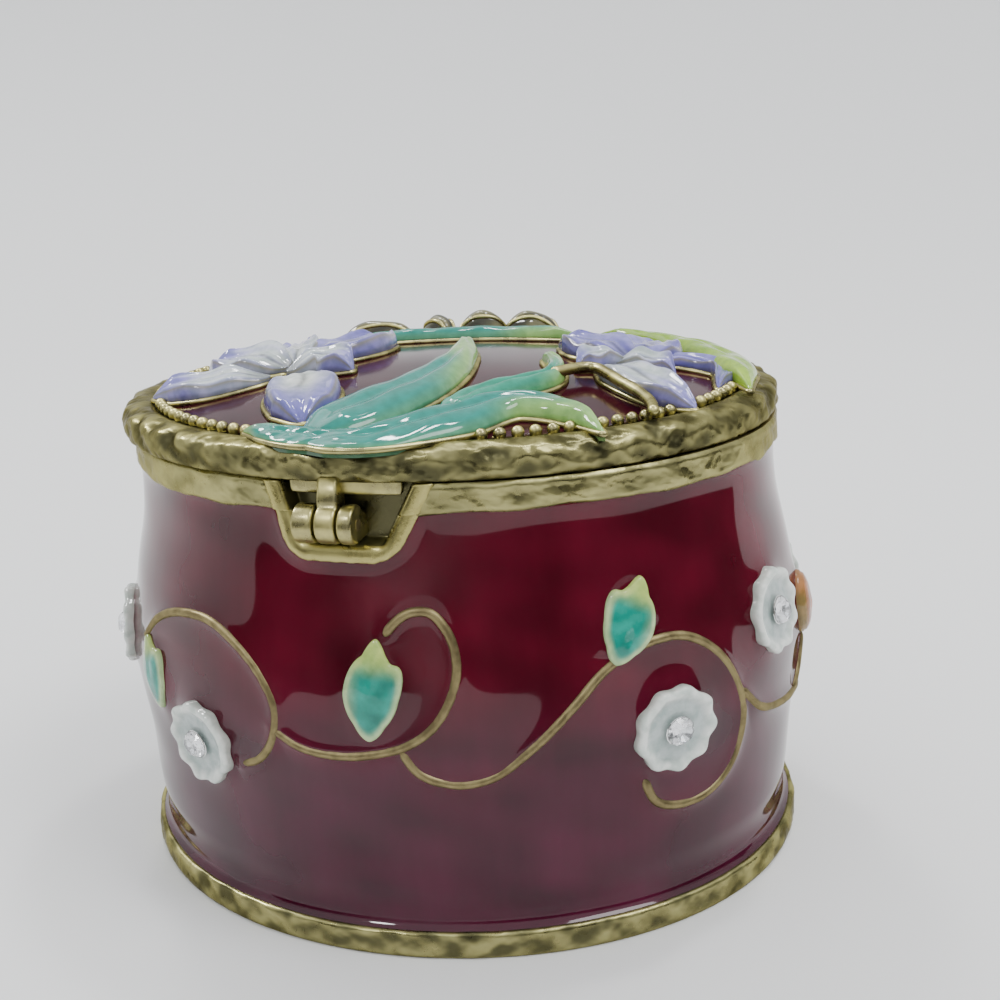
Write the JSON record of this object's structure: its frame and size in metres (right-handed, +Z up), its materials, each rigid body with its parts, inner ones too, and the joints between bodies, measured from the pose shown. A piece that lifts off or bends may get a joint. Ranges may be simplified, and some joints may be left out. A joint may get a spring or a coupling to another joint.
{
  "type": "cloisonne enamel box",
  "caption": "Oval trinket box with a hinged domed lid, red enamel walls, raised brass vine wire, enamel leaves and irises, set crystals and a hollow empty cup",
  "frame": {"origin": "centre of the flat underside", "axes": "+X along the oval's long axis, hinge on the -Y side, +Z up"},
  "size_m": [0.0688, 0.061, 0.0475],
  "materials": {
    "red_enamel": "glossy deep red enamel on cast metal",
    "antique_brass": "antiqued olive brass, worn and softly polished",
    "crystal": "clear faceted stone"
  },
  "bodies": {
    "box": {"box_body": "red_enamel", "hinge_pin": "antique_brass", "crystal_1": "crystal", "crystal_2": "crystal", "crystal_3": "crystal", "crystal_4": "crystal", "crystal_5": "crystal", "crystal_6": "crystal", "crystal_7": "crystal", "crystal_8": "crystal"},
    "lid": {"lid": "antique_brass"}
  },
  "joints": [
    {"name": "lid_hinge", "type": "hinge", "parent": "box", "child": "lid", "pos_m": [0, -0.028, 0.0375], "axis": [1, 0, 0], "range_deg": [0, 100]}
  ]
}
